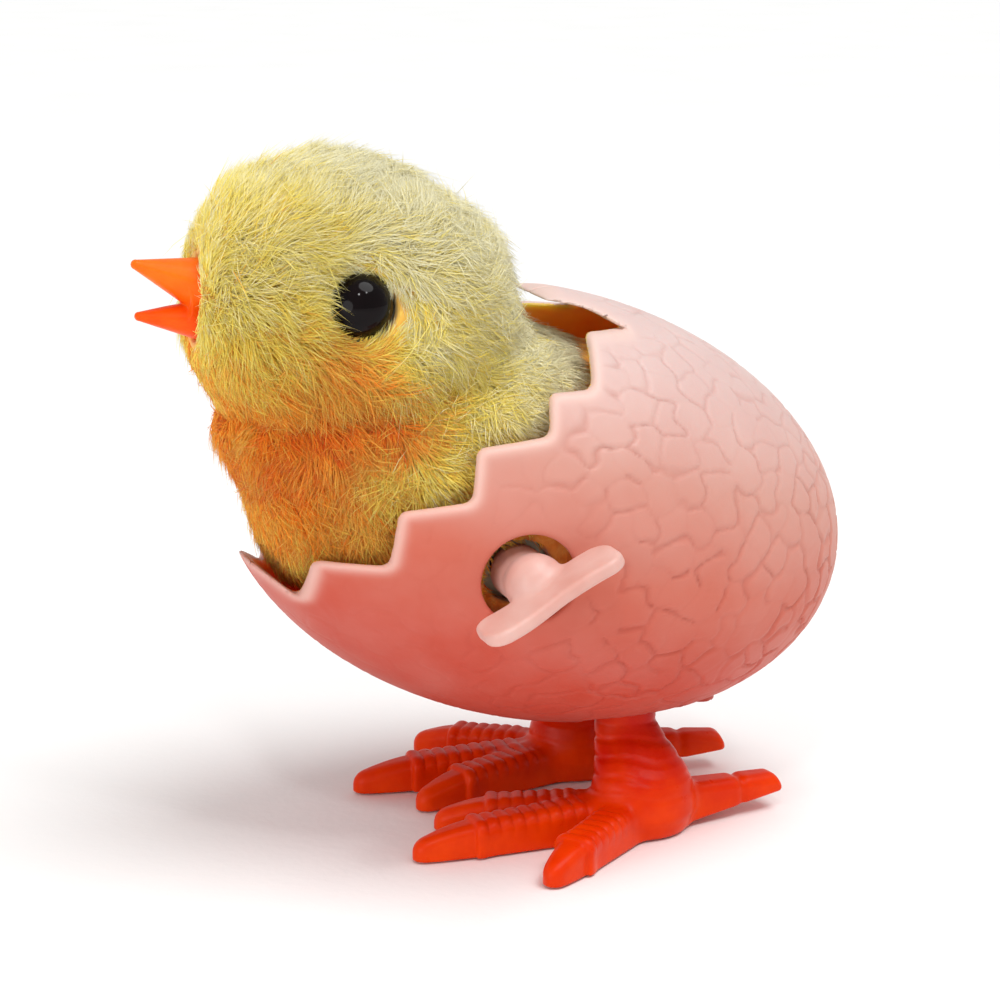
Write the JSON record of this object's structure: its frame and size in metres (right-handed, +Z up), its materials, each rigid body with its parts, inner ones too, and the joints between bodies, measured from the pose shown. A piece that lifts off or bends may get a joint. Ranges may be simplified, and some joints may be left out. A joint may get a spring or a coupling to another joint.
{
  "type": "wind-up hopping chick",
  "caption": "Plush chick in an open egg shell with a stepped rim, on two moulded feet; a clockwork motor wound by a side key swings both legs to make it hop.",
  "frame": {"origin": "on the floor, under the middle of the toy's bounding box", "axes": "+Z up, the chick faces -Y, and the winding key is on its left side, +X"},
  "size_m": [0.0526, 0.0751, 0.071],
  "materials": {
    "shell_pink": "satin moulded plastic with a crackle relief, pale pink to coral",
    "key_pink": "smooth pale pink moulded plastic",
    "plush_yellow": "short pale yellow plush pile",
    "foot_orange": "glossy orange-red moulded plastic",
    "beak_orange": "smooth orange moulded plastic",
    "eye_black": "polished black",
    "core_cream": "plain moulded plastic",
    "case_white": "plain moulded plastic",
    "gear_white": "acetal",
    "gear_red": "acetal",
    "steel": "bright steel",
    "spring_steel": "blued spring steel",
    "brass": "plain brass"
  },
  "bodies": {
    "toy": {"egg_shell_left": "shell_pink", "egg_shell_right": "shell_pink", "shell_screw": "steel", "plush_head": "plush_yellow", "plush_body": "plush_yellow", "head_core": "core_cream", "eye_left": "eye_black", "eye_right": "eye_black", "eye_washer_left": "steel", "eye_washer_right": "steel", "beak": "beak_orange", "body_core_left": "core_cream", "body_core_right": "core_cream", "core_screw_front": "steel", "core_screw_rear": "steel", "neck_screw": "steel", "motor_case_left": "case_white", "motor_case_right": "case_white", "case_screw_lower": "steel", "case_screw_upper": "steel", "case_screw_rear": "steel", "mainspring": "spring_steel", "idler_axle": "steel", "escape_axle": "steel", "pallet_axle": "steel", "leg_clip_left": "steel", "leg_clip_right": "steel", "leg_pivot_pin": "steel"},
    "main_gear": {"main_gear": "gear_white", "click_pawl": "steel"},
    "winding_key": {"winding_key": "key_pink", "winding_arbor": "steel", "ratchet_wheel": "brass"},
    "idler": {"idler_gear": "gear_red"},
    "crank": {"crank_gear": "gear_white", "crankshaft": "steel", "crank_left": "gear_white", "crank_right": "gear_white"},
    "escape_wheel": {"escape_wheel": "gear_red"},
    "pallet": {"pallet": "brass"},
    "leg_left": {"leg_left": "foot_orange"},
    "leg_right": {"leg_right": "foot_orange"}
  },
  "joints": [
    {"name": "main_gear_spin", "type": "hinge", "parent": "toy", "child": "main_gear", "pos_m": [0, -0.0038, 0.0314], "axis": [1, 0, 0], "continuous": true},
    {"name": "key_wind", "type": "hinge", "parent": "main_gear", "child": "winding_key", "pos_m": [0, -0.0038, 0.0314], "axis": [1, 0, 0], "continuous": true},
    {"name": "idler_spin", "type": "hinge", "parent": "toy", "child": "idler", "pos_m": [0, 0.0058, 0.0342], "axis": [1, 0, 0], "continuous": true},
    {"name": "crank_spin", "type": "hinge", "parent": "toy", "child": "crank", "pos_m": [0, 0.0088, 0.02571], "axis": [1, 0, 0], "continuous": true},
    {"name": "escape_spin", "type": "hinge", "parent": "toy", "child": "escape_wheel", "pos_m": [0, 0.01486, 0.02922], "axis": [1, 0, 0], "continuous": true},
    {"name": "pallet_rock", "type": "hinge", "parent": "toy", "child": "pallet", "pos_m": [0, 0.01836, 0.03528], "axis": [1, 0, 0], "range_deg": [-8, 8]},
    {"name": "leg_left_swing", "type": "hinge", "parent": "toy", "child": "leg_left", "pos_m": [0, 0.0088, 0.0182], "axis": [1, 0, 0], "range_deg": [-9, 9]},
    {"name": "leg_right_swing", "type": "hinge", "parent": "toy", "child": "leg_right", "pos_m": [0, 0.0088, 0.0182], "axis": [1, 0, 0], "range_deg": [-9, 9]}
  ],
  "couplings": [
    {"joint": "idler_spin", "follows": "main_gear_spin", "ratio": -4},
    {"joint": "crank_spin", "follows": "main_gear_spin", "ratio": 14},
    {"joint": "escape_spin", "follows": "main_gear_spin", "ratio": -35},
    {"joint": "leg_right_swing", "follows": "leg_left_swing", "ratio": 1}
  ]
}
